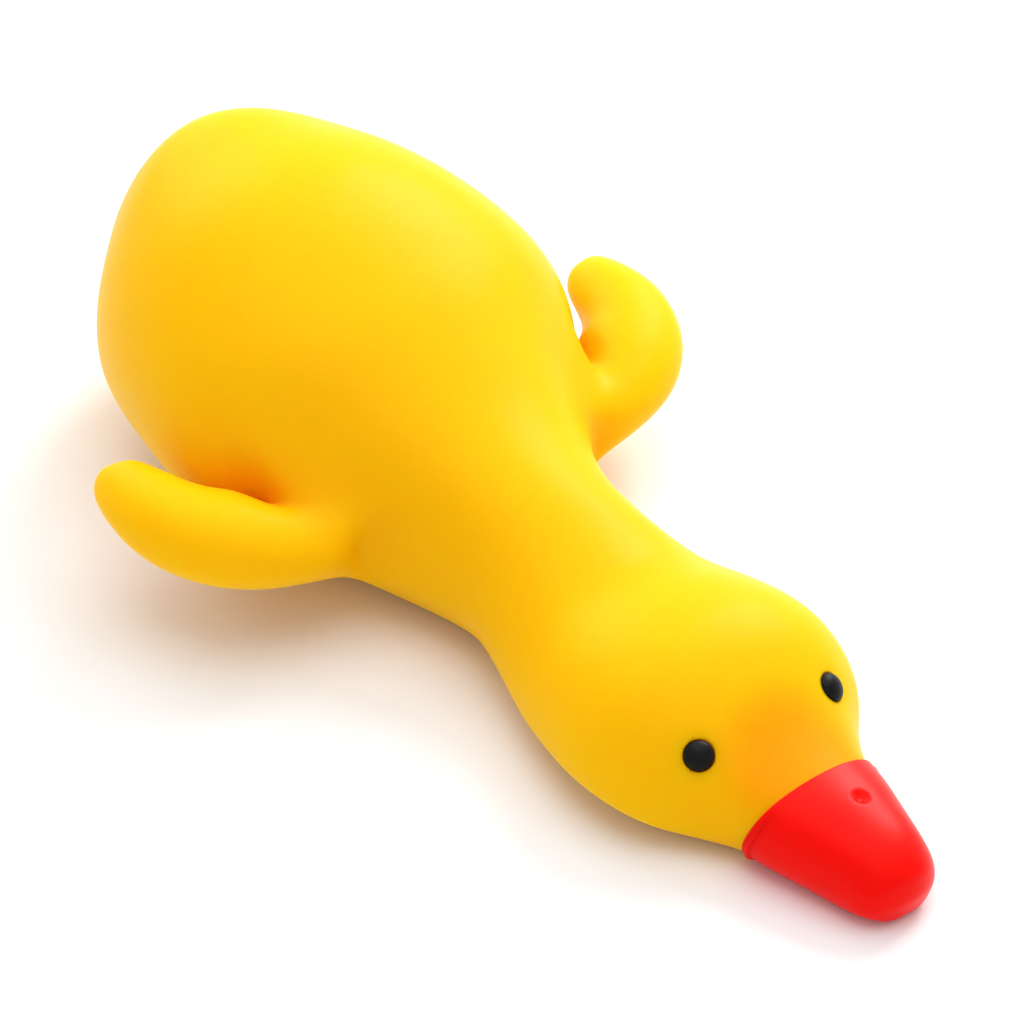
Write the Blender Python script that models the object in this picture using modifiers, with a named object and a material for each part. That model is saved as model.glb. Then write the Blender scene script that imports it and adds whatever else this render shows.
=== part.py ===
"""Squishy goose: a soft moulded goose that lies flat, with a red beak and two black bead eyes.

Frame: +X towards the beak, +Y to the goose's left, +Z up, in metres.
The origin is under the middle of the goose, on the table that it lies on.
"""

from dataclasses import dataclass
from math import atan2, cos, radians, sin, tan

import bmesh
import bpy
from mathutils import Matrix, Vector
from mathutils.bvhtree import BVHTree

MM = 0.001

# Lengths along the goose, from the tail end to the beak tip
BODY_LENGTH = 71.4 * MM
NECK_LENGTH = 27.1 * MM
HEAD_LENGTH = 38 * MM
BEAK_LENGTH = 21.3 * MM

# Widths and heights of the soft moulding
BODY_WIDTH = 64 * MM
BODY_HEIGHT = 44.5 * MM
SHOULDER_WIDTH = 38.4 * MM
SHOULDER_HEIGHT = 28.4 * MM
NECK_WIDTH = 28.4 * MM
NECK_HEIGHT = 22.8 * MM
HEAD_WIDTH = 41.8 * MM
HEAD_HEIGHT = 21.5 * MM
TAIL_BULGE = 2.3 * MM

# How far the soft underside is pressed flat by the table
BELLY_FLAT = 1.2 * MM

# Beak, a red moulding bonded to the front of the head
BEAK_WIDTH = 21.4 * MM
BEAK_HEIGHT = 11.8 * MM
BEAK_LEAN = radians(14)
BEAK_LIP = 0.4 * MM
BEAK_GAP = 0.3 * MM
BEAK_BULGE = 1.6 * MM
NOSTRIL_DIAMETER = 1.8 * MM
NOSTRIL_DEPTH = 0.7 * MM
NOSTRIL_SIDE = 1.7 * MM
NOSTRIL_SETBACK = 5.8 * MM

# Wings, two flippers that leave the shoulders and sweep back
WING_REACH = 9.5 * MM
WING_SWEEP = 20.8 * MM
WING_CURL = 1.8 * MM
WING_SETBACK = 5.4 * MM
WING_INSET = -0.4 * MM
WING_CHORD = 15.6 * MM
WING_THICKNESS = 12.8 * MM
WING_BULGE = 2.4 * MM
WING_ROOT_HEIGHT = 13 * MM
WING_ELBOW_HEIGHT = 16 * MM
WING_TIP_HEIGHT = 17.8 * MM

# Eyes, two flattened beads set in sockets
EYE_DIAMETER = 4 * MM
EYE_THICKNESS = 2.4 * MM
EYE_PROUD = 0.9 * MM
EYE_SPACING = 22.2 * MM
EYE_SETBACK = 7.3 * MM
SOCKET_GAP = 0.3 * MM

# Fineness of the net, of its fit and of the beads
COLUMNS = 6
SMOOTH_LEVELS = 2
FIT_ROUNDS = 8
BEAD_SEGMENTS = 16
BEAD_RINGS = 10

# Height of the widest place as a share of a section's height, and two powers:
# with lower ones the sides and the top are squarer
BODY_SHAPE = (0.48, 0.96, 1.05)
NECK_SHAPE = (0.45, 0.88, 1.1)
HEAD_SHAPE = (0.39, 0.88, 1.1)
BEAK_SHAPE = (0.45, 0.88, 1.0)

# Share of the length, half width, lowest and highest point of each section
BODY_PROFILE = (
    (0.032, 0.31, 0.25, 0.72),
    (0.123, 0.535, 0.083, 0.92),
    (0.274, 0.81, 0.0, 0.98),
    (0.482, 0.96, 0.0, 0.995),
    (0.704, 0.99, 0.0, 0.885),
    (0.846, 0.82, 0.0, 0.775),
)
# Share of the length, and how much of the step from the neck to the shoulder is left
NECK_PROFILE = ((0.0, 1.0, 1.0), (0.33, 0.15, 0.40), (0.64, 0.0, 0.0))
# Share of the length, half width, highest point and lean of each section
HEAD_PROFILE = (
    (0.02, 0.81, 0.92, 0.0),
    (0.245, 0.935, 0.955, 0.0),
    (0.508, 1.0, 0.99, 0.0),
    (0.73, 0.886, 0.84, 0.0),
    (0.865, 0.67, 0.61, 0.3),
)
# The head runs on past the plane where the beak sits, and the beak starts behind it
SEAT_OVERLAP = 0.15
# Share of the length, half width, lowest and highest point of each section
BEAK_PROFILE = (
    (-SEAT_OVERLAP, 1.03, 0.0, 1.03),
    (0.0, 1.0, 0.0, 1.0),
    (0.22, 0.91, 0.0, 0.98),
    (0.48, 0.77, 0.0, 0.92),
    (0.73, 0.64, 0.03, 0.82),
    (0.91, 0.46, 0.11, 0.66),
)
# Share of the way along the wing, of its chord and of its thickness, and the turn of the
# section from square to the wing's line, which lays the first one along the body's side
WING_PROFILE = (
    (0.14, 0.93, 0.86, radians(26)),
    (0.32, 0.94, 0.88, radians(5)),
    (0.55, 0.90, 0.88, 0.0),
    (0.80, 0.76, 0.76, 0.0),
    (1.0, 0.53, 0.48, 0.0),
)
# Share of the sweep at which the wing's elbow lies
WING_ELBOW = 0.125
# Rings of the body whose sides the wing grows from, and the columns it spans
WING_RINGS = (4, 6)
WING_COLUMNS = (2, 4)
# Places round the edge of a patch two faces long and two high
RING_PLACES = ((-1, -1), (0, -1), (1, -1), (1, 0), (1, 1), (0, 1), (-1, 1), (-1, 0))
# Heights of the three points that close an end, as shares of the end's height
CAP_SHARES = (0.27, 0.5, 0.74)

TOTAL_LENGTH = BODY_LENGTH + NECK_LENGTH + HEAD_LENGTH + BEAK_LENGTH
TAIL_X = -TOTAL_LENGTH / 2
NECK_X = TAIL_X + BODY_LENGTH
HEAD_X = NECK_X + NECK_LENGTH
SEAT_X = HEAD_X + HEAD_LENGTH


@dataclass(frozen=True)
class Section:
    """One cross-section of the goose: its place, half width and lowest and highest points."""

    x: float
    half: float
    low: float
    high: float
    shape: tuple
    lean: float = 0.0

    def half_ring(self):
        """Points up the left side, from the bottom middle to the top middle."""
        widest, side_power, top_power = self.shape
        middle = self.low + widest * (self.high - self.low)
        points = []
        for column in range(COLUMNS + 1):
            turn = radians(-90 + 180 * column / COLUMNS)
            rise = abs(sin(turn)) ** top_power
            out = abs(cos(turn)) ** side_power if 0 < column < COLUMNS else 0.0
            reach = self.high - middle if turn > 0 else self.low - middle
            z = middle + reach * rise
            points.append(Vector((self.x + z * tan(self.lean), self.half * out, z)))
        return points


class HalfNet:
    """The left half of a form as a coarse net of quads, open on the middle plane."""

    def __init__(self):
        self.points = []
        self.faces = []

    def add(self, points):
        """Adds points and returns their numbers."""
        first = len(self.points)
        self.points.extend(points)
        return list(range(first, len(self.points)))

    def bridge(self, row_a, row_b, skip=()):
        """Joins two rows of points with quads, but for the skipped columns."""
        for column in range(len(row_a) - 1):
            if column not in skip:
                corners = (row_a[column], row_b[column], row_b[column + 1], row_a[column + 1])
                self.faces.append(corners)

    def close(self, ring, bulge):
        """Closes an end ring with a patch whose middle stands out along X by bulge."""
        low, high = self.points[ring[0]], self.points[ring[-1]]
        line = []
        for share in CAP_SHARES:
            point = low.lerp(high, share)
            point.x += bulge * (1 - (2 * share - 1) ** 2)
            line.append(point)
        a, b, c = self.add(line)
        patch = (
            (ring[0], ring[1], ring[2], a),
            (a, ring[2], ring[3], b),
            (b, ring[3], ring[4], c),
            (c, ring[4], ring[5], ring[6]),
        )
        self.faces.extend(patch)


def body_sections():
    """Sections of the body as far as the shoulders."""
    return [
        Section(
            TAIL_X + along * BODY_LENGTH,
            half * BODY_WIDTH / 2,
            low * BODY_HEIGHT - BELLY_FLAT,
            high * BODY_HEIGHT,
            BODY_SHAPE,
        )
        for along, half, low, high in BODY_PROFILE
    ]


def head_sections():
    """Sections of the shoulders, neck and head, to just past the beak's seat."""
    sections = []
    for along, width_step, height_step in NECK_PROFILE:
        x = NECK_X + along * NECK_LENGTH
        half = (NECK_WIDTH + width_step * (SHOULDER_WIDTH - NECK_WIDTH)) / 2
        high = NECK_HEIGHT + height_step * (SHOULDER_HEIGHT - NECK_HEIGHT)
        sections.append(Section(x, half, -BELLY_FLAT, high, NECK_SHAPE))
    for along, wide, tall, lean in HEAD_PROFILE:
        x = HEAD_X + along * HEAD_LENGTH
        half, high = wide * HEAD_WIDTH / 2, tall * HEAD_HEIGHT
        sections.append(Section(x, half, -BELLY_FLAT, high, HEAD_SHAPE, lean * BEAK_LEAN))
    half, high = BEAK_WIDTH / 2 - BEAK_LIP, BEAK_HEIGHT - BEAK_LIP
    for along in (0.0, SEAT_OVERLAP):
        x = SEAT_X + along * BEAK_LENGTH
        sections.append(Section(x, half, -BELLY_FLAT, high, BEAK_SHAPE, BEAK_LEAN))
    return sections


def beak_sections():
    """Sections of the beak, from just behind its seat to near its tip."""
    return [
        Section(
            SEAT_X + along * BEAK_LENGTH,
            half * BEAK_WIDTH / 2,
            low * BEAK_HEIGHT - BELLY_FLAT,
            high * BEAK_HEIGHT,
            BEAK_SHAPE,
            BEAK_LEAN * min(1.0, 1 - along),
        )
        for along, half, low, high in BEAK_PROFILE
    ]


def wing_rings():
    """Eight-point rings along the left wing, and its last point.

    The wing's middle line is a curve from the shoulder, out past an elbow and back to the tip.
    """
    out = BODY_WIDTH / 2 + WING_REACH
    root = Vector((NECK_X - WING_SETBACK, SHOULDER_WIDTH / 2 - WING_INSET, WING_ROOT_HEIGHT))
    elbow = Vector((root.x - WING_ELBOW * WING_SWEEP, out, WING_ELBOW_HEIGHT))
    tip = Vector((root.x - WING_SWEEP, out - WING_CURL, WING_TIP_HEIGHT))
    rings = []
    for along, chord, thickness, turned in WING_PROFILE:
        back = 1 - along
        middle = back**2 * root + 2 * along * back * elbow + along**2 * tip
        heading = 2 * back * (elbow - root) + 2 * along * (tip - elbow)
        heading.z = 0
        heading.normalize()
        side = Matrix.Rotation(-turned, 3, "Z") @ Vector((heading.y, -heading.x, 0))
        ring = []
        for s, t in RING_PLACES:
            turn = atan2(t, s)
            across = side * (chord * WING_CHORD / 2 * cos(turn))
            ring.append(middle + across + Vector((0, 0, thickness * WING_THICKNESS / 2 * sin(turn))))
        rings.append(ring)
    return rings, middle + heading * WING_BULGE


def add_wing(net, rings):
    """Grows the wing from the hole left in the body's side."""
    first_ring, first_column = WING_RINGS[0] + 1, WING_COLUMNS[0] + 1
    edge = [rings[first_ring + s][first_column + t] for s, t in RING_PLACES]
    shapes, last = wing_rings()
    for shape in shapes:
        ring = net.add(shape)
        net.bridge(edge + edge[:1], ring + ring[:1])
        edge = ring
    (end,) = net.add([last])
    for corner in (0, 2, 4, 6):
        before, after = edge[corner - 1], edge[corner + 1]
        net.faces.append((edge[corner], after, end, before))


def half_body():
    """The net of the body's left half."""
    net = HalfNet()
    rings = [net.add(section.half_ring()) for section in body_sections() + head_sections()]
    for number, (ring_a, ring_b) in enumerate(zip(rings, rings[1:])):
        in_wing = WING_RINGS[0] <= number < WING_RINGS[1]
        net.bridge(ring_a, ring_b, skip=range(*WING_COLUMNS) if in_wing else ())
    net.close(rings[0], -TAIL_BULGE)
    net.close(rings[-1], 0.0)
    add_wing(net, rings)
    return net


def half_beak():
    """The net of the beak's left half."""
    net = HalfNet()
    rings = [net.add(section.half_ring()) for section in beak_sections()]
    for ring_a, ring_b in zip(rings, rings[1:]):
        net.bridge(ring_a, ring_b)
    net.close(rings[0], 0.0)
    net.close(rings[-1], BEAK_BULGE)
    return net


def material(name, color, roughness):
    """A Principled finish."""
    finish = bpy.data.materials.new(name)
    finish.use_nodes = True
    shader = finish.node_tree.nodes["Principled BSDF"]
    shader.inputs["Base Color"].default_value = (*color, 1.0)
    shader.inputs["Roughness"].default_value = roughness
    shader.inputs["Metallic"].default_value = 0.0
    return finish


def smooth_form(name, net, finish, collection):
    """A mirrored, subdivided object whose smooth surface passes through the net's points."""
    used = sorted({corner for face in net.faces for corner in face})
    number = {old: new for new, old in enumerate(used)}
    targets = [net.points[old] for old in used]
    faces = [[number[corner] for corner in face] for face in net.faces]
    mesh = bpy.data.meshes.new(name)
    mesh.from_pydata(targets, [], faces)
    work = bmesh.new()
    work.from_mesh(mesh)
    bmesh.ops.recalc_face_normals(work, faces=work.faces)
    work.to_mesh(mesh)
    work.free()
    mesh.materials.append(finish)
    piece = bpy.data.objects.new(name, mesh)
    collection.objects.link(piece)
    mirror = piece.modifiers.new("Mirror", "MIRROR")
    mirror.use_axis = (False, True, False)
    mirror.merge_threshold = 0.0001
    smooth = piece.modifiers.new("Smooth", "SUBSURF")
    smooth.levels = smooth.render_levels = SMOOTH_LEVELS
    for _ in range(FIT_ROUNDS):
        surface = piece.evaluated_get(bpy.context.evaluated_depsgraph_get()).data
        misses = [target - surface.vertices[i].co for i, target in enumerate(targets)]
        for vertex, miss in zip(mesh.vertices, misses):
            vertex.co += miss
        mesh.update()
        bpy.context.view_layer.update()
    return piece


def cutter(name, mesh_maker, matrix, collection):
    """A hidden solid that a Boolean takes away."""
    mesh = bpy.data.meshes.new(name)
    work = bmesh.new()
    mesh_maker(work)
    work.to_mesh(mesh)
    work.free()
    piece = bpy.data.objects.new(name, mesh)
    piece.matrix_world = matrix
    piece.hide_render = True
    piece.display_type = "WIRE"
    collection.objects.link(piece)
    return piece


def cut(piece, tool):
    """Takes the tool away from the piece."""
    boolean = piece.modifiers.new(tool.name, "BOOLEAN")
    boolean.operation = "DIFFERENCE"
    boolean.solver = "EXACT"
    boolean.object = tool


def block(size):
    """A maker of a box of this size, centred on its origin."""

    def make(work):
        bmesh.ops.create_cube(work, size=1.0, matrix=Matrix.Diagonal((*size, 1.0)))

    return make


def bead(diameter, thickness):
    """A maker of a flattened ball, thin along Z."""

    def make(work):
        scale = Matrix.Diagonal((diameter / 2, diameter / 2, thickness / 2, 1.0))
        bmesh.ops.create_uvsphere(
            work, u_segments=BEAD_SEGMENTS, v_segments=BEAD_RINGS, radius=1.0, matrix=scale
        )

    return make


def surface_point(piece, x, y):
    """The piece's surface straight above a place on the table, and its smoothed normal."""
    tree = BVHTree.FromObject(piece, bpy.context.evaluated_depsgraph_get())
    down = Vector((0, 0, -1))
    start = Vector((x, y, BODY_HEIGHT * 2))
    point = tree.ray_cast(start, down)[0]
    normal = Vector()
    for dx, dy in ((1, 0), (-1, 0), (0, 1), (0, -1)):
        step = Vector((dx, dy, 0)) * EYE_DIAMETER / 2
        normal += tree.ray_cast(start + step, down)[1]
    return point, normal.normalized()


def facing(point, normal):
    """A placement at a point with Z along a normal."""
    return Matrix.Translation(point) @ normal.to_track_quat("Z", "Y").to_matrix().to_4x4()


def seat_block(name, ahead, collection):
    """A block that fills the space ahead of, or behind, the plane where the beak meets the head."""
    size = 2 * max(BODY_WIDTH, BODY_HEIGHT, HEAD_LENGTH)
    lean = Matrix.Translation((SEAT_X, 0, 0)) @ Matrix.Rotation(BEAK_LEAN, 4, "Y")
    offset = size / 2 if ahead else BEAK_GAP - size / 2
    return cutter(name, block((size, size, size)), lean @ Matrix.Translation((offset, 0, 0)), collection)


def build():
    """Builds the goose's four pieces."""
    for old in list(bpy.data.objects):
        bpy.data.objects.remove(old)
    parts = bpy.data.collections.new("squishy_goose")
    cutters = bpy.data.collections.new("cutters")
    for collection in (parts, cutters):
        bpy.context.scene.collection.children.link(collection)

    yellow = material("soft_yellow", (0.98, 0.60, 0.02), 0.42)
    red = material("soft_red", (0.85, 0.02, 0.01), 0.38)
    black = material("gloss_black", (0.01, 0.01, 0.01), 0.2)

    body = smooth_form("body", half_body(), yellow, parts)
    beak = smooth_form("beak", half_beak(), red, parts)

    eyes = {}
    eye_x = SEAT_X - EYE_SETBACK
    for side, name in ((1, "left"), (-1, "right")):
        point, normal = surface_point(body, eye_x, side * EYE_SPACING / 2)
        eyes[name] = facing(point + normal * (EYE_PROUD - EYE_THICKNESS / 2), normal)
    nostril_x = SEAT_X + BEAK_HEIGHT * tan(BEAK_LEAN) + NOSTRIL_SETBACK
    dimple, dimple_normal = surface_point(beak, nostril_x, NOSTRIL_SIDE)

    ground_size = 4 * TOTAL_LENGTH
    ground = cutter(
        "table_flat",
        block((ground_size, ground_size, ground_size)),
        Matrix.Translation((0, 0, -ground_size / 2)),
        cutters,
    )
    cut(body, ground)
    cut(beak, ground)
    cut(body, seat_block("head_front", True, cutters))
    cut(beak, seat_block("beak_back", False, cutters))
    for name, place in eyes.items():
        socket = bead(EYE_DIAMETER + 2 * SOCKET_GAP, EYE_THICKNESS + 2 * SOCKET_GAP)
        cut(body, cutter(name + "_socket", socket, place, cutters))
        mesh = bpy.data.meshes.new(name + "_eye")
        work = bmesh.new()
        bead(EYE_DIAMETER, EYE_THICKNESS)(work)
        work.to_mesh(mesh)
        work.free()
        mesh.shade_smooth()
        mesh.materials.append(black)
        eye = bpy.data.objects.new(name + "_eye", mesh)
        eye.matrix_world = place
        parts.objects.link(eye)
    nostril = bead(NOSTRIL_DIAMETER, NOSTRIL_DEPTH * 2)
    cut(beak, cutter("nostril", nostril, facing(dimple, dimple_normal), cutters))
    for piece in (body, beak):
        piece.data.shade_smooth()


build()
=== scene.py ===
"""Looks of the squishy goose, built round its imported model.

A soft yellow goose lies on its belly with its neck stretched out along the table.
It has a red beak bonded to its head and two black bead eyes.
"""

import logging
from dataclasses import dataclass
from enum import Enum
from math import atan2, cos, radians, sin, tan

import bmesh
import bpy
import numpy as np
from mathutils import Matrix, Vector, noise
from mathutils.bvhtree import BVHTree
from mathutils.kdtree import KDTree


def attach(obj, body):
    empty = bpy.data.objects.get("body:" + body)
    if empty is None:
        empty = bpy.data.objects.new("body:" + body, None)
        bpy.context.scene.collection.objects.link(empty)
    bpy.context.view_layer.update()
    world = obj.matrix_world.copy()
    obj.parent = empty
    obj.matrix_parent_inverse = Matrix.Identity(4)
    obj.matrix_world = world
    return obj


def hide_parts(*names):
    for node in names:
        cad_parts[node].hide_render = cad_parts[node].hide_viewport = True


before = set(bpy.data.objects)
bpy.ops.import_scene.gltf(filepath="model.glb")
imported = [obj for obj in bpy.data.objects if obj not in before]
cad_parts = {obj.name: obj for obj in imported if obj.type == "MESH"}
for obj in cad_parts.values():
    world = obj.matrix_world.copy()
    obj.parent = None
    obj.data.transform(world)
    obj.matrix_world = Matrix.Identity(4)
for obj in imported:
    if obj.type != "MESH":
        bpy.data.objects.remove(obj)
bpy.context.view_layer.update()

LOG = logging.getLogger("goose")
MM = 0.001
PHOTO_PIXELS = 1024
MERGE_DISTANCE = 0.01 * MM
NEAR_POINTS = 6
RAY_START_HEIGHT = 1.0
PORES_PER_GRAIN = 0.22
PORE_EDGE = (0.05, 0.35)
SMUDGES_PER_DRIFT = 3.1
MOTTLE_SPAN = (0.3, 0.7)
SHEEN_SPAN = (0.7, 1.3)

Colour = tuple[float, float, float]
Ring = list[int]


class Side(Enum):
    """The goose's two sides, with the sign of Y on each."""

    LEFT = 1
    RIGHT = -1


class Slot(Enum):
    """The material slots of the record."""

    YELLOW = "yellow_rubber"
    RED = "red_rubber"
    BLACK = "black_bead"


@dataclass(frozen=True)
class RingShape:
    """How full a cross-section is. A lower power makes it squarer."""

    widest: float
    side_power: float
    top_power: float


@dataclass(frozen=True)
class Section:
    """One cross-section: its place, half width, lowest and highest points and lean."""

    x: float
    half: float
    low: float
    high: float
    shape: RingShape
    lean: float = 0.0

    def half_ring(self, columns: int = 6) -> list[Vector]:
        """Points up the left side, from the bottom middle to the top middle.

        Args:
            columns: Steps from bottom to top.

        Returns:
            The points, one more than there are columns.
        """
        middle = self.low + self.shape.widest * (self.high - self.low)
        points = []
        for column in range(columns + 1):
            turn = radians(-90 + 180 * column / columns)
            rise = abs(sin(turn)) ** self.shape.top_power
            out = abs(cos(turn)) ** self.shape.side_power if 0 < column < columns else 0.0
            z = middle + (self.high - middle if turn > 0 else self.low - middle) * rise
            points.append(Vector((self.x + z * tan(self.lean), self.half * out, z)))
        return points


@dataclass(frozen=True)
class GooseSizes:
    """The goose's sizes in metres, the same as the solids have."""

    body_length: float = 71.4 * MM
    neck_length: float = 27.1 * MM
    head_length: float = 38 * MM
    beak_length: float = 21.3 * MM
    body_width: float = 64 * MM
    body_height: float = 44.5 * MM
    shoulder_width: float = 38.4 * MM
    shoulder_height: float = 28.4 * MM
    neck_width: float = 28.4 * MM
    neck_height: float = 22.8 * MM
    head_width: float = 41.8 * MM
    head_height: float = 21.5 * MM
    beak_width: float = 21.4 * MM
    beak_height: float = 11.8 * MM
    beak_lean: float = radians(14)
    beak_lip: float = 0.4 * MM
    belly_flat: float = 1.2 * MM
    body_shape: RingShape = RingShape(0.48, 0.96, 1.05)
    neck_shape: RingShape = RingShape(0.45, 0.88, 1.1)
    head_shape: RingShape = RingShape(0.39, 0.88, 1.1)
    beak_shape: RingShape = RingShape(0.45, 0.88, 1.0)

    @property
    def tail_x(self) -> float:
        """Where the tail ends."""
        return -(self.body_length + self.neck_length + self.head_length + self.beak_length) / 2

    @property
    def neck_x(self) -> float:
        """Where the shoulders end and the neck starts."""
        return self.tail_x + self.body_length

    @property
    def head_x(self) -> float:
        """Where the head starts."""
        return self.neck_x + self.neck_length

    @property
    def seat_x(self) -> float:
        """Where the beak sits on the head, at the table's height."""
        return self.head_x + self.head_length


class HalfNet:
    """The left half of a soft form as a coarse net of quads, open on the middle plane."""

    def __init__(self) -> None:
        """Starts an empty net."""
        self.points: list[Vector] = []
        self.faces: list[tuple[int, ...]] = []

    def add(self, points: list[Vector]) -> Ring:
        """Adds points and returns their numbers."""
        first = len(self.points)
        self.points.extend(points)
        return list(range(first, len(self.points)))

    def bridge(self, row_a: Ring, row_b: Ring, skip: tuple[int, ...] = ()) -> None:
        """Joins two rows with quads.

        Args:
            row_a: Numbers of the first row.
            row_b: Numbers of the second row.
            skip: Columns left open.
        """
        for column in range(len(row_a) - 1):
            if column not in skip:
                self.faces.append((row_a[column], row_b[column], row_b[column + 1], row_a[column + 1]))

    def close(self, ring: Ring, bulge: float, shares: tuple[float, ...] = (0.27, 0.5, 0.74)) -> None:
        """Closes an end with a patch whose middle stands out.

        Args:
            ring: Numbers of the end's seven points.
            bulge: How far the middle stands out along X.
            shares: Heights of the three middle points, as shares of the end's height.
        """
        low, high = self.points[ring[0]], self.points[ring[-1]]
        line = []
        for share in shares:
            point = low.lerp(high, share)
            point.x += bulge * (1 - (2 * share - 1) ** 2)
            line.append(point)
        a, b, c = self.add(line)
        self.faces.append((ring[0], ring[1], ring[2], a))
        self.faces.append((a, ring[2], ring[3], b))
        self.faces.append((b, ring[3], ring[4], c))
        self.faces.append((c, ring[4], ring[5], ring[6]))

    def smooth_mesh(self, name: str, levels: int, fit_rounds: int = 8) -> bpy.types.Mesh:
        """Mirrors and subdivides the net so that the smooth surface passes through its points.

        Args:
            name: Name of the mesh.
            levels: Subdivisions of the finished surface.
            fit_rounds: Times that the net is pushed out to meet its points.

        Returns:
            The finished mesh, with no modifiers left.
        """
        used = sorted({corner for face in self.faces for corner in face})
        number = {old: new for new, old in enumerate(used)}
        targets = [self.points[old] for old in used]
        cage = bpy.data.meshes.new(name + "_cage")
        cage.from_pydata(targets, [], [[number[c] for c in face] for face in self.faces])
        work = bmesh.new()
        work.from_mesh(cage)
        bmesh.ops.recalc_face_normals(work, faces=work.faces)
        work.to_mesh(cage)
        work.free()
        piece = bpy.data.objects.new(name + "_cage", cage)
        bpy.context.scene.collection.objects.link(piece)
        mirror = piece.modifiers.new("Mirror", "MIRROR")
        mirror.use_axis = (False, True, False)
        mirror.merge_threshold = MERGE_DISTANCE
        smooth = piece.modifiers.new("Smooth", "SUBSURF")
        smooth.levels = smooth.render_levels = 2
        for _ in range(fit_rounds):
            surface = evaluated(piece).data
            misses = [target - surface.vertices[i].co for i, target in enumerate(targets)]
            for vertex, miss in zip(cage.vertices, misses):
                vertex.co += miss
            cage.update()
            bpy.context.view_layer.update()
        smooth.levels = smooth.render_levels = levels
        bpy.context.view_layer.update()
        mesh = bpy.data.meshes.new_from_object(evaluated(piece))
        mesh.name = name
        bpy.data.objects.remove(piece)
        bpy.data.meshes.remove(cage)
        return mesh


def evaluated(piece: bpy.types.Object) -> bpy.types.Object:
    """The piece with its modifiers, as the viewport shows it."""
    return piece.evaluated_get(bpy.context.evaluated_depsgraph_get())


def add_object(name: str, mesh: bpy.types.Mesh) -> bpy.types.Object:
    """Makes an object of a mesh and puts it in the scene."""
    piece = bpy.data.objects.new(name, mesh)
    bpy.context.scene.collection.objects.link(piece)
    return piece


class Clay:
    """A mesh's points and normals as arrays, for pushing the surface about by hand."""

    def __init__(self, mesh: bpy.types.Mesh) -> None:
        """Reads the mesh."""
        self.mesh = mesh
        count = len(mesh.vertices)
        self.points = np.empty(count * 3)
        mesh.vertices.foreach_get("co", self.points)
        self.points = self.points.reshape(-1, 3)
        edges = np.empty(len(mesh.edges) * 2, dtype=np.int64)
        mesh.edges.foreach_get("vertices", edges)
        self.edges = edges.reshape(-1, 2)
        self.degree = np.bincount(self.edges.ravel(), minlength=count)[:, None]

    def normals(self) -> np.ndarray:
        """Normals of the surface as it is now."""
        self.write()
        normals = np.empty(len(self.mesh.vertices) * 3)
        self.mesh.vertices.foreach_get("normal", normals)
        return normals.reshape(-1, 3)

    def write(self) -> None:
        """Puts the points back in the mesh."""
        self.mesh.vertices.foreach_set("co", self.points.ravel())
        self.mesh.update()

    def push(self, centre: Vector, radius: float, depth: float) -> None:
        """Pushes the surface in at a place, or pulls it out, with a soft edge.

        Args:
            centre: Middle of the place.
            radius: How far the push reaches.
            depth: How deep it goes at the middle, below zero for a swelling.
        """
        away = (self.points - np.array(centre)) / radius
        share = np.clip(1 - (away**2).sum(axis=1), 0, 1) ** 2
        self.points -= self.normals() * (share * depth)[:, None]

    def ripple(self, amount: float, wavelength: float, seed: float) -> None:
        """Adds the slight waviness of a soft moulding.

        Args:
            amount: Height of the waves.
            wavelength: Their length.
            seed: Shifts the pattern.
        """
        shift = Vector((seed, seed * 0.7, -seed))
        waves = np.array([noise.noise(Vector(p) / wavelength + shift) for p in self.points])
        self.points += self.normals() * (waves * amount)[:, None]

    def press_flat(self, softness: float) -> None:
        """Presses the underside against the table at zero height.

        Args:
            softness: How round the edge of the pressed area is.
        """
        z = self.points[:, 2]
        self.points[:, 2] = (z + np.sqrt(z**2 + softness**2)) / 2

    def spread(self, values: np.ndarray, rounds: int) -> np.ndarray:
        """Averages values with those of the neighbouring points.

        Args:
            values: One row for each point.
            rounds: Times that they are averaged.

        Returns:
            The averaged rows.
        """
        start, end = self.edges.T
        for _ in range(rounds):
            total = np.empty_like(values)
            for axis in range(values.shape[1]):
                total[:, axis] = np.bincount(start, values[end, axis], len(values))
                total[:, axis] += np.bincount(end, values[start, axis], len(values))
            values = total / self.degree
        return values

    def hollowness(self, reach: int) -> np.ndarray:
        """How deep each point lies in a hollow.

        Args:
            reach: Rounds of smoothing that the surface is compared with.

        Returns:
            Depths in metres, above zero in hollows and below it on bulges.
        """
        depths = ((self.spread(self.points, reach) - self.points) * self.normals()).sum(axis=1)
        return self.spread(depths[:, None], reach // 2)[:, 0]

    def store(self, name: str, values: np.ndarray) -> None:
        """Keeps one value for each point under a name that a material can read."""
        layer = self.mesh.attributes.new(name, "FLOAT", "POINT")
        layer.data.foreach_set("value", values.astype(np.float32))


def even_hollowness(piece: bpy.types.Object, spacing: float, reach: int) -> np.ndarray:
    """Hollowness of a form whose faces differ in size, measured on an evenly meshed copy.

    Args:
        piece: The form.
        spacing: Distance between the copy's points.
        reach: Rounds of smoothing that the surface is compared with.

    Returns:
        One depth in metres for each point of the piece.
    """
    remesh = piece.modifiers.new("Even", "REMESH")
    remesh.mode = "VOXEL"
    remesh.voxel_size = spacing
    copy = Clay(bpy.data.meshes.new_from_object(evaluated(piece)))
    piece.modifiers.clear()
    depths = copy.hollowness(reach)
    tree = KDTree(len(copy.points))
    for number, point in enumerate(copy.points):
        tree.insert(point, number)
    tree.balance()
    near = [[n for _, n, _ in tree.find_n(vertex.co, NEAR_POINTS)] for vertex in piece.data.vertices]
    bpy.data.meshes.remove(copy.mesh)
    return depths[np.array(near)].mean(axis=1)


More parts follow.
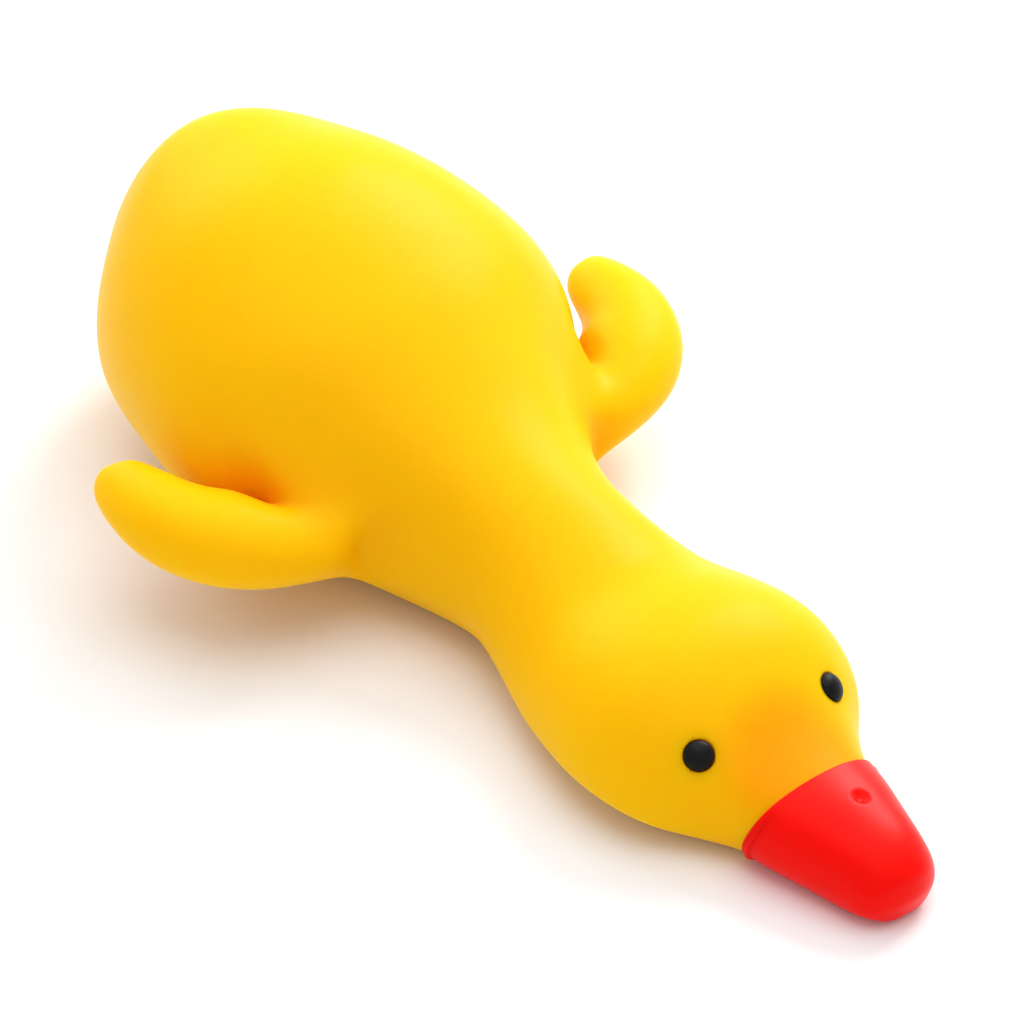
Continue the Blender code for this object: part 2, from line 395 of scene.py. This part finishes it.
class NodeBook:
    """Short ways to place and join nodes in one tree."""

    def __init__(self, tree: bpy.types.NodeTree) -> None:
        """Works in this tree."""
        self.tree = tree

    def node(self, kind: str, **values: object) -> bpy.types.Node:
        """Places a node.

        Args:
            kind: The node's Blender type.
            values: Its properties.

        Returns:
            The node.
        """
        made = self.tree.nodes.new(kind)
        for name, value in values.items():
            setattr(made, name, value)
        return made

    def set(self, node: bpy.types.Node, **inputs: object) -> None:
        """Sets or joins inputs of a node.

        Args:
            node: The node.
            inputs: Values or output sockets, by input name with _ for spaces.
        """
        for name, value in inputs.items():
            socket = node.inputs[name.replace("_", " ")]
            if isinstance(value, bpy.types.NodeSocket):
                self.tree.links.new(value, socket)
            else:
                socket.default_value = value

    def maths(self, operation: str, first: object, second: object = 0.0) -> bpy.types.NodeSocket:
        """Places a Math node.

        Args:
            operation: Its operation.
            first: First value or socket.
            second: Second value or socket.

        Returns:
            Its output.
        """
        node = self.node("ShaderNodeMath", operation=operation)
        for socket, value in zip(node.inputs, (first, second)):
            if isinstance(value, bpy.types.NodeSocket):
                self.tree.links.new(value, socket)
            else:
                socket.default_value = value
        return node.outputs[0]

    def blend(self, factor: object, first: object, second: object) -> bpy.types.NodeSocket:
        """Mixes two colours.

        Args:
            factor: Share of the second, as a value or socket.
            first: First colour or socket.
            second: Second colour or socket.

        Returns:
            The mixed colour's socket.
        """
        node = self.node("ShaderNodeMix", data_type="RGBA")
        sockets = (node.inputs[0], node.inputs[6], node.inputs[7])
        for socket, value in zip(sockets, (factor, first, second)):
            if isinstance(value, bpy.types.NodeSocket):
                self.tree.links.new(value, socket)
            else:
                socket.default_value = value if isinstance(value, float) else (*value, 1.0)
        return node.outputs[2]

    def span(self, value: bpy.types.NodeSocket, low: float, high: float) -> bpy.types.NodeSocket:
        """Spreads a value between low and high onto 0 to 1, with soft ends."""
        node = self.node("ShaderNodeMapRange", interpolation_type="SMOOTHSTEP")
        self.tree.links.new(value, node.inputs["Value"])
        node.inputs["From Min"].default_value = low
        node.inputs["From Max"].default_value = high
        return node.outputs["Result"]


def new_group(name: str, inputs: dict[str, float], outputs: tuple[str, ...]) -> bpy.types.NodeTree:
    """Starts a shader node group with number sockets.

    Args:
        name: Name of the group.
        inputs: Names of its inputs with their usual values.
        outputs: Names of its outputs.

    Returns:
        The group's tree.
    """
    group = bpy.data.node_groups.new(name, "ShaderNodeTree")
    for title, value in inputs.items():
        socket = group.interface.new_socket(title, in_out="INPUT", socket_type="NodeSocketFloat")
        socket.default_value = value
    for title in outputs:
        group.interface.new_socket(title, in_out="OUTPUT", socket_type="NodeSocketFloat")
    return group


def moulded_skin_group() -> bpy.types.NodeTree:
    """The satin skin that a mould leaves: fine grain, faint pits and a slow drift.

    Returns:
        A group with Grain as a bump height, Mottle for colour and Sheen Drift for roughness.
    """
    inputs = {"Grain Scale": 2400.0, "Grain Depth": 1.0, "Pit Amount": 0.3, "Drift Scale": 60.0}
    group = new_group("moulded_skin", inputs, ("Grain", "Mottle", "Sheen Drift"))
    book = NodeBook(group)
    given = book.node("NodeGroupInput").outputs
    place = book.node("ShaderNodeTexCoord").outputs["Object"]

    grain = book.node("ShaderNodeTexNoise")
    book.set(grain, Vector=place, Scale=given["Grain Scale"], Detail=3.0, Roughness=0.62)
    pores = book.node("ShaderNodeTexVoronoi", feature="F1")
    book.set(pores, Vector=place, Scale=book.maths("MULTIPLY", given["Grain Scale"], PORES_PER_GRAIN))
    pits = book.maths("SUBTRACT", 1.0, book.span(pores.outputs["Distance"], *PORE_EDGE))
    pitted = book.maths("MULTIPLY", pits, given["Pit Amount"])
    height = book.maths("SUBTRACT", grain.outputs["Fac"], pitted)
    height = book.maths("MULTIPLY", height, given["Grain Depth"])

    drift = book.node("ShaderNodeTexNoise")
    book.set(drift, Vector=place, Scale=given["Drift Scale"], Detail=4.0, Roughness=0.55, Distortion=0.4)
    smudge = book.node("ShaderNodeTexNoise")
    smudge_scale = book.maths("MULTIPLY", given["Drift Scale"], SMUDGES_PER_DRIFT)
    book.set(smudge, Vector=place, Scale=smudge_scale, Detail=5.0)
    both = book.maths("ADD", drift.outputs["Fac"], smudge.outputs["Fac"])

    out = book.node("NodeGroupOutput")
    group.links.new(height, out.inputs["Grain"])
    group.links.new(book.span(drift.outputs["Fac"], *MOTTLE_SPAN), out.inputs["Mottle"])
    group.links.new(book.span(both, *SHEEN_SPAN), out.inputs["Sheen Drift"])
    return group


def painted_shade_and_light_group() -> bpy.types.NodeTree:
    """Masks for painted shade, darker and deeper orange in the hollows, and painted light, paler on the
    crowns.

    Returns:
        A group with Hollow and Crown, from 0 to 1.
    """
    inputs = {"Hollow Start": -0.35, "Hollow Full": 1.2, "Crown Start": -0.5, "Crown Full": -1.2}
    group = new_group("painted_shade_and_light", inputs, ("Hollow", "Crown"))
    book = NodeBook(group)
    given = book.node("NodeGroupInput").outputs
    depth = book.node("ShaderNodeAttribute", attribute_name="hollow").outputs["Fac"]
    out = book.node("NodeGroupOutput")
    for title in ("Hollow", "Crown"):
        spread = book.node("ShaderNodeMapRange", interpolation_type="SMOOTHSTEP")
        book.set(spread, Value=depth, From_Min=given[title + " Start"], From_Max=given[title + " Full"])
        group.links.new(spread.outputs["Result"], out.inputs[title])
    return group


@dataclass(frozen=True)
class RubberFinish:
    """Soft dyed rubber that light enters, with a satin moulded skin."""

    name: str
    colour: Colour
    # Painted shade: a darker colour for the hollows. Painted light: a paler colour for the crowns.
    hollow_shade_colour: Colour
    crown_light_colour: Colour
    mottle_colour: Colour
    sheen_tint: Colour
    roughness: float
    roughness_drift: float
    grain_scale: float
    grain_depth: float
    glow: float
    glow_reach: float
    glow_radius: Colour
    gloss: float
    mottle_share: float = 0.5
    drift_scale: float = 45.0
    refraction: float = 1.46

    def build(self, skin: bpy.types.NodeTree, depths: bpy.types.NodeTree) -> bpy.types.Material:
        """Makes the material.

        Args:
            skin: The moulded skin group.
            depths: The group of masks for painted shade in hollows and painted light on crowns.

        Returns:
            The material.
        """
        material = bpy.data.materials.new(self.name)
        material.use_nodes = True
        book = NodeBook(material.node_tree)
        shader = material.node_tree.nodes["Principled BSDF"]
        surface = book.node("ShaderNodeGroup", node_tree=skin)
        book.set(surface, Grain_Scale=self.grain_scale, Drift_Scale=self.drift_scale)
        form = book.node("ShaderNodeGroup", node_tree=depths)

        mottle = book.maths("MULTIPLY", surface.outputs["Mottle"], self.mottle_share)
        tone = book.blend(mottle, self.colour, self.mottle_colour)
        # Painted light makes the crowns paler; painted shade makes the hollows and the brow darker and
        # more orange.
        tone = book.blend(form.outputs["Crown"], tone, self.crown_light_colour)
        tone = book.blend(form.outputs["Hollow"], tone, self.hollow_shade_colour)
        drift = book.maths("MULTIPLY", surface.outputs["Sheen Drift"], self.roughness_drift)
        bump = book.node("ShaderNodeBump")
        book.set(bump, Strength=1.0, Distance=self.grain_depth, Height=surface.outputs["Grain"])
        book.set(
            shader,
            Base_Color=tone,
            Roughness=book.maths("ADD", drift, self.roughness),
            Normal=bump.outputs["Normal"],
            Subsurface_Weight=self.glow,
            Subsurface_Radius=self.glow_radius,
            Subsurface_Scale=self.glow_reach,
            Specular_IOR_Level=self.gloss,
            Specular_Tint=(*self.sheen_tint, 1.0),
            IOR=self.refraction,
        )
        return material


@dataclass(frozen=True)
class BeadFinish:
    """Glossy black plastic of the bead eyes, with fine scuffs."""

    name: str = "gloss_black_bead"
    colour: Colour = (0.002, 0.002, 0.002)
    scuffed_colour: Colour = (0.006, 0.0055, 0.0055)
    roughness: float = 0.3
    scuff_roughness: float = 0.14
    gloss: float = 0.12
    grain_scale: float = 5200.0
    grain_depth: float = 0.004 * MM
    pit_amount: float = 0.15
    drift_scale: float = 700.0

    def build(self, skin: bpy.types.NodeTree) -> bpy.types.Material:
        """Makes the material.

        Args:
            skin: The moulded skin group.

        Returns:
            The material.
        """
        material = bpy.data.materials.new(self.name)
        material.use_nodes = True
        book = NodeBook(material.node_tree)
        shader = material.node_tree.nodes["Principled BSDF"]
        surface = book.node("ShaderNodeGroup", node_tree=skin)
        book.set(
            surface,
            Grain_Scale=self.grain_scale,
            Pit_Amount=self.pit_amount,
            Drift_Scale=self.drift_scale,
        )
        bump = book.node("ShaderNodeBump")
        book.set(bump, Strength=1.0, Distance=self.grain_depth, Height=surface.outputs["Grain"])
        scuffs = book.maths("MULTIPLY", surface.outputs["Sheen Drift"], self.scuff_roughness)
        book.set(
            shader,
            Base_Color=book.blend(surface.outputs["Mottle"], self.colour, self.scuffed_colour),
            Roughness=book.maths("ADD", scuffs, self.roughness),
            Normal=bump.outputs["Normal"],
            Specular_IOR_Level=self.gloss,
        )
        return material


@dataclass
class SoftBody:
    """The yellow moulding: body, wings, neck and head in one piece."""

    sizes: GooseSizes
    levels: int = 4
    tail_bulge: float = 2.3 * MM
    body_profile: tuple = (
        (0.032, 0.31, 0.25, 0.72),
        (0.123, 0.535, 0.083, 0.92),
        (0.274, 0.81, 0.0, 0.98),
        (0.482, 0.96, 0.0, 0.995),
        (0.704, 0.99, 0.0, 0.885),
        (0.846, 0.82, 0.0, 0.775),
    )
    neck_profile: tuple = ((0.0, 1.0, 1.0), (0.33, 0.15, 0.40), (0.64, 0.0, 0.0))
    head_profile: tuple = (
        (0.02, 0.81, 0.92, 0.0),
        (0.245, 0.935, 0.955, 0.0),
        (0.508, 1.0, 0.99, 0.0),
        (0.73, 0.886, 0.84, 0.0),
        (0.865, 0.67, 0.655, 0.3),
    )
    stub_length: float = 0.9 * MM
    stub_taper: float = 0.45 * MM
    wing_reach: float = 9.5 * MM
    wing_sweep: float = 20.8 * MM
    wing_curl: float = 1.8 * MM
    wing_setback: float = 5.4 * MM
    wing_inset: float = -0.4 * MM
    wing_chord: float = 15.6 * MM
    wing_thickness: float = 12.8 * MM
    wing_bulge: float = 2.4 * MM
    wing_root_height: float = 13 * MM
    wing_elbow_height: float = 16 * MM
    wing_tip_height: float = 17.8 * MM
    wing_elbow: float = 0.125
    wing_profile: tuple = (
        (0.14, 0.93, 0.86, radians(26)),
        (0.32, 0.94, 0.88, radians(5)),
        (0.55, 0.90, 0.88, 0.0),
        (0.80, 0.76, 0.76, 0.0),
        (1.0, 0.53, 0.48, 0.0),
    )
    wing_rings: tuple = (4, 6)
    wing_columns: tuple = (2, 4)
    ring_places: tuple = ((-1, -1), (0, -1), (1, -1), (1, 0), (1, 1), (0, 1), (-1, 1), (-1, 0))
    press_softness: float = 0.5 * MM
    wave_height: float = 0.16 * MM
    wave_length: float = 21 * MM
    ripple_height: float = 0.05 * MM
    ripple_length: float = 7 * MM
    hollow_spacing: float = 1.2 * MM
    hollow_reach: int = 30
    # Painted shade at the brow: how far it reaches and how deep it is, and the depth used elsewhere.
    brow_shade_reach: float = 22 * MM
    brow_shade_depth: float = 1.3
    crown_depth: float = -1.5

    def sections(self) -> list[list[Vector]]:
        """Half rings from the tail to the stub that goes into the beak."""
        s, low = self.sizes, -self.sizes.belly_flat
        made = []
        for along, wide, bottom, tall in self.body_profile:
            x, half = s.tail_x + along * s.body_length, wide * s.body_width / 2
            bottom, top = bottom * s.body_height + low, tall * s.body_height
            made.append(Section(x, half, bottom, top, s.body_shape))
        for along, width_step, height_step in self.neck_profile:
            x = s.neck_x + along * s.neck_length
            half = (s.neck_width + width_step * (s.shoulder_width - s.neck_width)) / 2
            high = s.neck_height + height_step * (s.shoulder_height - s.neck_height)
            made.append(Section(x, half, low, high, s.neck_shape))
        for along, wide, tall, lean in self.head_profile:
            x, half = s.head_x + along * s.head_length, wide * s.head_width / 2
            made.append(Section(x, half, low, tall * s.head_height, s.head_shape, lean * s.beak_lean))
        half, high = s.beak_width / 2 - s.beak_lip, s.beak_height - s.beak_lip
        for ahead, taper in ((0.0, 0.0), (self.stub_length, self.stub_taper)):
            x = s.seat_x + ahead
            made.append(Section(x, half - taper, low, high - taper, s.beak_shape, s.beak_lean))
        return [section.half_ring() for section in made]

    def wing_shapes(self) -> tuple[list[list[Vector]], Vector]:
        """Rings of eight points along the left wing.

        Returns:
            The rings, and the wing's last point.
        """
        s = self.sizes
        out = s.body_width / 2 + self.wing_reach
        root_y = s.shoulder_width / 2 - self.wing_inset
        root = Vector((s.neck_x - self.wing_setback, root_y, self.wing_root_height))
        elbow = Vector((root.x - self.wing_elbow * self.wing_sweep, out, self.wing_elbow_height))
        tip = Vector((root.x - self.wing_sweep, out - self.wing_curl, self.wing_tip_height))
        rings = []
        for along, chord, thickness, turned in self.wing_profile:
            back = 1 - along
            middle = back**2 * root + 2 * along * back * elbow + along**2 * tip
            heading = 2 * back * (elbow - root) + 2 * along * (tip - elbow)
            heading.z = 0
            heading.normalize()
            side = Matrix.Rotation(-turned, 3, "Z") @ Vector((heading.y, -heading.x, 0))
            ring = []
            for s_place, t_place in self.ring_places:
                turn = atan2(t_place, s_place)
                rise = Vector((0, 0, thickness * self.wing_thickness / 2 * sin(turn)))
                ring.append(middle + side * (chord * self.wing_chord / 2 * cos(turn)) + rise)
            rings.append(ring)
        return rings, middle + heading * self.wing_bulge

    def net(self) -> HalfNet:
        """The coarse net of the left half."""
        net = HalfNet()
        rings = [net.add(points) for points in self.sections()]
        for number, (ring_a, ring_b) in enumerate(zip(rings, rings[1:])):
            in_wing = self.wing_rings[0] <= number < self.wing_rings[1]
            net.bridge(ring_a, ring_b, tuple(range(*self.wing_columns)) if in_wing else ())
        net.close(rings[0], -self.tail_bulge)
        net.close(rings[-1], 0.0)
        first_ring, first_column = self.wing_rings[0] + 1, self.wing_columns[0] + 1
        edge = [rings[first_ring + s][first_column + t] for s, t in self.ring_places]
        shapes, last = self.wing_shapes()
        for shape in shapes:
            ring = net.add(shape)
            net.bridge(edge + edge[:1], ring + ring[:1])
            edge = ring
        (end,) = net.add([last])
        for corner in (0, 2, 4, 6):
            net.faces.append((edge[corner], edge[corner + 1], end, edge[corner - 1]))
        return net

    def build(self) -> bpy.types.Object:
        """Builds the moulding.

        Returns:
            The piece, without its eye sockets.
        """
        mesh = self.net().smooth_mesh("soft_body", self.levels)
        clay = Clay(mesh)
        self.sculpt(clay)
        clay.press_flat(self.press_softness)
        clay.write()
        mesh.shade_smooth()
        piece = add_object("soft_body", mesh)
        depths = even_hollowness(piece, self.hollow_spacing, self.hollow_reach) / MM
        # The hollow attribute drives painted shade in the hollows and at the brow, and painted light on
        # the crowns.
        clay.store("hollow", np.maximum(depths, self.brow_shade_depths(clay)))
        return piece

    def brow_shade_depths(self, clay: Clay) -> np.ndarray:
        """Painted shade at the brow, in the hollow that the head and the beak make together, which the
        moulding alone doesn't show.

        Args:
            clay: The finished form.

        Returns:
            One depth for each point, in millimetres.
        """
        middle = np.array((self.sizes.seat_x, 0.0, self.sizes.beak_height))
        away = np.linalg.norm(clay.points - middle, axis=1) / self.brow_shade_reach
        share = np.clip(1 - away**2, 0, 1) ** 2
        return self.crown_depth + share * (self.brow_shade_depth - self.crown_depth)

    def sculpt(self, clay: Clay) -> None:
        """Adds what the coarse net can't hold: a slight waviness.

        Args:
            clay: The smooth form.
        """
        clay.ripple(self.wave_height, self.wave_length, seed=3.1)
        clay.ripple(self.ripple_height, self.ripple_length, seed=8.4)


@dataclass
class RedBeak:
    """The red moulding at the front: a soft ridge, a raised rear lip and one nostril dimple."""

    sizes: GooseSizes
    levels: int = 4
    bulge: float = 1.6 * MM
    lip_roll: float = 0.2 * MM
    lip_rim: float = 0.6
    lip_end: float = 4.0
    ripple_height: float = 0.07 * MM
    ripple_length: float = 8 * MM
    pocket_depth: float = 1.5 * MM
    pocket_gap: float = 0.06 * MM
    profile: tuple = (
        (0.22, 0.91, 0.0, 0.98),
        (0.48, 0.77, 0.0, 0.92),
        (0.73, 0.64, 0.03, 0.82),
        (0.91, 0.46, 0.11, 0.66),
    )
    nostril_side: float = 1.7 * MM
    nostril_setback: float = 5.8 * MM
    nostril_radius: float = 1.5 * MM
    nostril_depth: float = 0.7 * MM
    press_softness: float = 0.3 * MM
    hollow_reach: int = 25

    def net(self) -> HalfNet:
        """The coarse net of the left half, from the bottom of its pocket round the lip to the tip."""
        s = self.sizes
        half, top, low = s.beak_width / 2, s.beak_height, -s.belly_flat
        inside = s.beak_lip - self.pocket_gap
        next_along, next_wide, _, next_high = self.profile[0]
        rows = [
            (self.pocket_depth, inside),
            (self.lip_roll, inside),
            (0.0, self.lip_roll * self.lip_rim),
            (self.lip_roll, 0.0),
            (self.lip_roll * self.lip_end, 0.0),
        ]
        net = HalfNet()
        rings = []
        for ahead, inset in rows:
            share = ahead / (next_along * s.beak_length)
            wide, high = 1 - share * (1 - next_wide), 1 - share * (1 - next_high)
            section = Section(
                s.seat_x + ahead, wide * half - inset, low, high * top - inset, s.beak_shape, s.beak_lean
            )
            rings.append(net.add(section.half_ring()))
        for along, wide, bottom, high in self.profile:
            x, lean = s.seat_x + along * s.beak_length, s.beak_lean * (1 - along)
            section = Section(x, wide * half, bottom * top + low, high * top, s.beak_shape, lean)
            rings.append(net.add(section.half_ring()))
        for ring_a, ring_b in zip(rings, rings[1:]):
            net.bridge(ring_a, ring_b)
        net.close(rings[0], 0.0)
        net.close(rings[-1], self.bulge)
        return net

    def build(self) -> bpy.types.Object:
        """Builds the beak.

        Returns:
            The piece.
        """
        s = self.sizes
        mesh = self.net().smooth_mesh("red_beak", self.levels)
        clay = Clay(mesh)
        clay.ripple(self.ripple_height, self.ripple_length, seed=5.2)
        nostril_x = s.seat_x + s.beak_height * tan(s.beak_lean) + self.nostril_setback
        place = surface_point(mesh, nostril_x, self.nostril_side)[0]
        clay.push(place, self.nostril_radius, self.nostril_depth)
        clay.press_flat(self.press_softness)
        clay.write()
        # The hollow attribute drives painted shade in the beak's hollows and painted light on its
        # crowns.
        clay.store("hollow", clay.hollowness(self.hollow_reach) / MM)
        mesh.shade_smooth()
        return add_object("red_beak", mesh)


def surface_point(
    mesh: bpy.types.Mesh, x: float, y: float, spread: float = 1.5 * MM
) -> tuple[Vector, Vector]:
    """The surface straight above a place on the table.

    Args:
        mesh: The form.
        x: Place along the goose.
        y: Place across it.
        spread: How far the four points lie whose normals are averaged.

    Returns:
        The point, and the surface's averaged normal.
    """
    work = bmesh.new()
    work.from_mesh(mesh)
    tree = BVHTree.FromBMesh(work)
    work.free()
    down = Vector((0, 0, -1))
    start = Vector((x, y, RAY_START_HEIGHT))
    point = tree.ray_cast(start, down)[0]
    normal = Vector()
    for dx, dy in ((1, 0), (-1, 0), (0, 1), (0, -1)):
        normal += tree.ray_cast(start + Vector((dx, dy, 0)) * spread, down)[1]
    return point, normal.normalized()


@dataclass
class BeadEye:
    """One black bead in its socket."""

    side: Side
    diameter: float = 4 * MM
    thickness: float = 2.4 * MM
    proud: float = 0.9 * MM
    spacing: float = 22.2 * MM
    setback: float = 7.3 * MM
    socket_gap: float = 0.08 * MM
    dent_radius: float = 3.6 * MM
    dent_depth: float = 0.25 * MM

    @property
    def name(self) -> str:
        """The CAD node's name."""
        return self.side.name.lower() + "_eye"

    def seat(self, body: bpy.types.Object, sizes: GooseSizes) -> Matrix:
        """Where the bead sits, with Z out of the head.

        Args:
            body: The soft moulding.
            sizes: The goose's sizes.

        Returns:
            The bead's placement.
        """
        x = sizes.seat_x - self.setback
        y = self.side.value * self.spacing / 2
        point, normal = surface_point(body.data, x, y, self.diameter / 2)
        point = point + normal * (self.proud - self.thickness / 2)
        return Matrix.Translation(point) @ normal.to_track_quat("Z", "Y").to_matrix().to_4x4()

    def bead_mesh(self, name: str, grow: float, segments: int = 64, rings: int = 40) -> bpy.types.Mesh:
        """A flattened ball.

        Args:
            name: Name of the mesh.
            grow: Added all round.
            segments: Faces round it.
            rings: Faces from pole to pole.

        Returns:
            The mesh.
        """
        mesh = bpy.data.meshes.new(name)
        work = bmesh.new()
        half, thick = self.diameter / 2 + grow, self.thickness / 2 + grow
        flat = Matrix.Diagonal((half, half, thick, 1.0))
        bmesh.ops.create_uvsphere(
            work, u_segments=segments, v_segments=rings, radius=1.0, matrix=flat
        )
        work.to_mesh(mesh)
        work.free()
        mesh.shade_smooth()
        return mesh

    def build(self, body: bpy.types.Object, place: Matrix) -> bpy.types.Object:
        """Cuts the socket in the body and builds the bead.

        Args:
            body: The soft moulding.
            place: Where the bead sits.

        Returns:
            The bead.
        """
        clay = Clay(body.data)
        clay.push(place.translation, self.dent_radius, self.dent_depth)
        clay.write()
        cutter = add_object("socket_cutter", self.bead_mesh("socket_cutter", self.socket_gap, 48, 24))
        cutter.matrix_world = place
        boolean = body.modifiers.new("Socket", "BOOLEAN")
        boolean.operation = "DIFFERENCE"
        boolean.solver = "EXACT"
        boolean.object = cutter
        bpy.context.view_layer.update()
        cut = bpy.data.meshes.new_from_object(evaluated(body))
        body.modifiers.clear()
        old = body.data
        body.data = cut
        bpy.data.meshes.remove(old)
        bpy.data.objects.remove(cutter)
        bead = add_object("bead_" + self.name, self.bead_mesh(self.name, 0.0))
        bead.matrix_world = place
        return bead


@dataclass(frozen=True)
class PhotoCamera:
    """The camera that the photograph was taken with, as fitted to the goose's outline."""

    elevation: float = radians(37.52)
    turn: float = radians(39.59)
    roll: float = radians(-1.816)
    target: tuple = (-15.74 * MM, 12.20 * MM, 0.0)
    distance: float = 618.9 * MM
    pixels_per_metre: float = 7284.0
    sensor: float = 36.0
    nearest: float = 0.01
    farthest: float = 20.0

    def build(self) -> bpy.types.Object:
        """Places the camera.

        Returns:
            The camera.
        """
        level = cos(self.elevation)
        back = Vector((level * cos(self.turn), -level * sin(self.turn), sin(self.elevation)))
        right = Vector((sin(self.turn), cos(self.turn), 0.0))
        up = back.cross(right)
        rolled_right = right * cos(self.roll) - up * sin(self.roll)
        rolled_up = up * cos(self.roll) + right * sin(self.roll)
        data = bpy.data.cameras.new("photo_camera")
        data.sensor_width = self.sensor
        data.lens = self.pixels_per_metre * self.distance / PHOTO_PIXELS * data.sensor_width
        data.dof.use_dof = False
        data.clip_start, data.clip_end = self.nearest, self.farthest
        camera = bpy.data.objects.new("photo_camera", data)
        bpy.context.scene.collection.objects.link(camera)
        spin = Matrix((rolled_right, rolled_up, back)).transposed().to_4x4()
        camera.matrix_world = Matrix.Translation(Vector(self.target) + back * self.distance) @ spin
        bpy.context.scene.camera = camera
        return camera


@dataclass(frozen=True)
class SoftBox:
    """One large soft lamp that faces the goose."""

    name: str
    azimuth: float
    elevation: float
    distance: float
    width: float
    height: float
    power: float

    def build(self, aim: Vector) -> bpy.types.Object:
        """Places the lamp.

        Args:
            aim: What it faces.

        Returns:
            The lamp.
        """
        data = bpy.data.lights.new(self.name, "AREA")
        data.shape = "RECTANGLE"
        data.size, data.size_y = self.width, self.height
        data.energy = self.power
        lamp = bpy.data.objects.new(self.name, data)
        bpy.context.scene.collection.objects.link(lamp)
        level = cos(self.elevation)
        away = Vector((level * cos(self.azimuth), level * sin(self.azimuth), sin(self.elevation)))
        facing = away.to_track_quat("Z", "Y").to_matrix().to_4x4()
        lamp.matrix_world = Matrix.Translation(aim + away * self.distance) @ facing
        return lamp


@dataclass
class Studio:
    """The white table, the lamps and the pale surroundings."""

    floor_size: float = 3.0
    floor_colour: Colour = (0.88, 0.88, 0.88)
    floor_roughness: float = 0.9
    floor_gloss: float = 0.1
    aim_height: float = 0.02
    world_strength: float = 0.62
    lamps: tuple = (
        SoftBox("key_box", radians(111), radians(38), 0.9, 0.42, 0.42, 5.7),
        SoftBox("tail_box", radians(172), radians(32), 0.9, 0.5, 0.5, 1.9),
        SoftBox("top_box", radians(105), radians(85), 0.9, 1.0, 1.0, 4.8),
    )

    def floor(self) -> bpy.types.Object:
        """Lays the table, which isn't part of the goose."""
        mesh = bpy.data.meshes.new("table")
        work = bmesh.new()
        bmesh.ops.create_grid(work, x_segments=1, y_segments=1, size=self.floor_size / 2)
        work.to_mesh(mesh)
        work.free()
        table = add_object("table", mesh)
        material = bpy.data.materials.new("matt_white")
        material.use_nodes = True
        shader = material.node_tree.nodes["Principled BSDF"]
        shader.inputs["Base Color"].default_value = (*self.floor_colour, 1.0)
        shader.inputs["Roughness"].default_value = self.floor_roughness
        shader.inputs["Specular IOR Level"].default_value = self.floor_gloss
        mesh.materials.append(material)
        return table

    def surroundings(self) -> None:
        """Sets a soft light from all round, and white where it is seen itself or mirrored."""
        world = bpy.data.worlds.new("studio")
        bpy.context.scene.world = world
        world.use_nodes = True
        book = NodeBook(world.node_tree)
        sky = world.node_tree.nodes["Background"]
        rays = book.node("ShaderNodeLightPath").outputs
        seen = book.maths("MAXIMUM", rays["Is Camera Ray"], rays["Is Glossy Ray"])
        seen = book.maths("MAXIMUM", seen, rays["Is Transmission Ray"])
        strength = book.node("ShaderNodeMix", data_type="FLOAT")
        book.set(strength, Factor=seen, A=self.world_strength, B=1.0)
        book.set(sky, Color=(1.0, 1.0, 1.0, 1.0), Strength=strength.outputs[0])

    def build(self) -> None:
        """Builds the whole studio."""
        self.floor()
        self.surroundings()
        for lamp in self.lamps:
            lamp.build(Vector((0, 0, self.aim_height)))


# The hollow colour is painted shade, a deeper orange; the crown colour is painted light, a paler yellow.
YELLOW = RubberFinish(
    name="soft_yellow_rubber",
    colour=(0.99, 0.51, 0.002),
    hollow_shade_colour=(0.99, 0.33, 0.001),
    crown_light_colour=(0.99, 0.53, 0.002),
    mottle_colour=(0.99, 0.495, 0.002),
    sheen_tint=(1.0, 0.92, 0.6),
    roughness=0.33,
    roughness_drift=0.08,
    grain_scale=2400.0,
    grain_depth=0.012 * MM,
    glow=0.6,
    glow_reach=5 * MM,
    glow_radius=(1.0, 0.3, 0.04),
    gloss=0.06,
)
# The hollow colour is painted shade, a darker red; the crown colour is painted light, a brighter red.
RED = RubberFinish(
    name="soft_red_rubber",
    colour=(0.96, 0.004, 0.001),
    hollow_shade_colour=(0.82, 0.001, 0.001),
    crown_light_colour=(0.97, 0.006, 0.002),
    mottle_colour=(0.93, 0.003, 0.001),
    sheen_tint=(1.0, 0.5, 0.45),
    roughness=0.29,
    roughness_drift=0.08,
    grain_scale=2600.0,
    grain_depth=0.012 * MM,
    glow=0.2,
    glow_reach=1.5 * MM,
    glow_radius=(1.0, 0.12, 0.05),
    gloss=0.16,
)


def dress(piece: bpy.types.Object, material: bpy.types.Material, node: str) -> None:
    """Gives a piece its finish and says which solid it stands for.

    Args:
        piece: The piece.
        material: Its material.
        node: The CAD node that it replaces.
    """
    piece.data.materials.clear()
    piece.data.materials.append(material)
    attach(piece, "root")
    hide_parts(node)
    LOG.info("%s: %d faces, for %s", piece.name, len(piece.data.polygons), node)


def main() -> None:
    """Builds the goose and its studio, in order."""
    logging.basicConfig(level=logging.INFO, format="%(name)s: %(message)s")
    bpy.context.scene.view_settings.view_transform = "Standard"
    sizes = GooseSizes()
    # The second group masks painted shade in the hollows and painted light on the crowns.
    skin, depths = moulded_skin_group(), painted_shade_and_light_group()

    body = SoftBody(sizes).build()
    eyes = [BeadEye(side) for side in Side]
    seats = [eye.seat(body, sizes) for eye in eyes]
    black = BeadFinish().build(skin)
    for eye, place in zip(eyes, seats):
        dress(eye.build(body, place), black, eye.name)
    dress(body, YELLOW.build(skin, depths), "body")
    beak = RedBeak(sizes).build()
    dress(beak, RED.build(skin, depths), "beak")

    Studio().build()
    PhotoCamera().build()


if __name__ == "__main__":
    main()
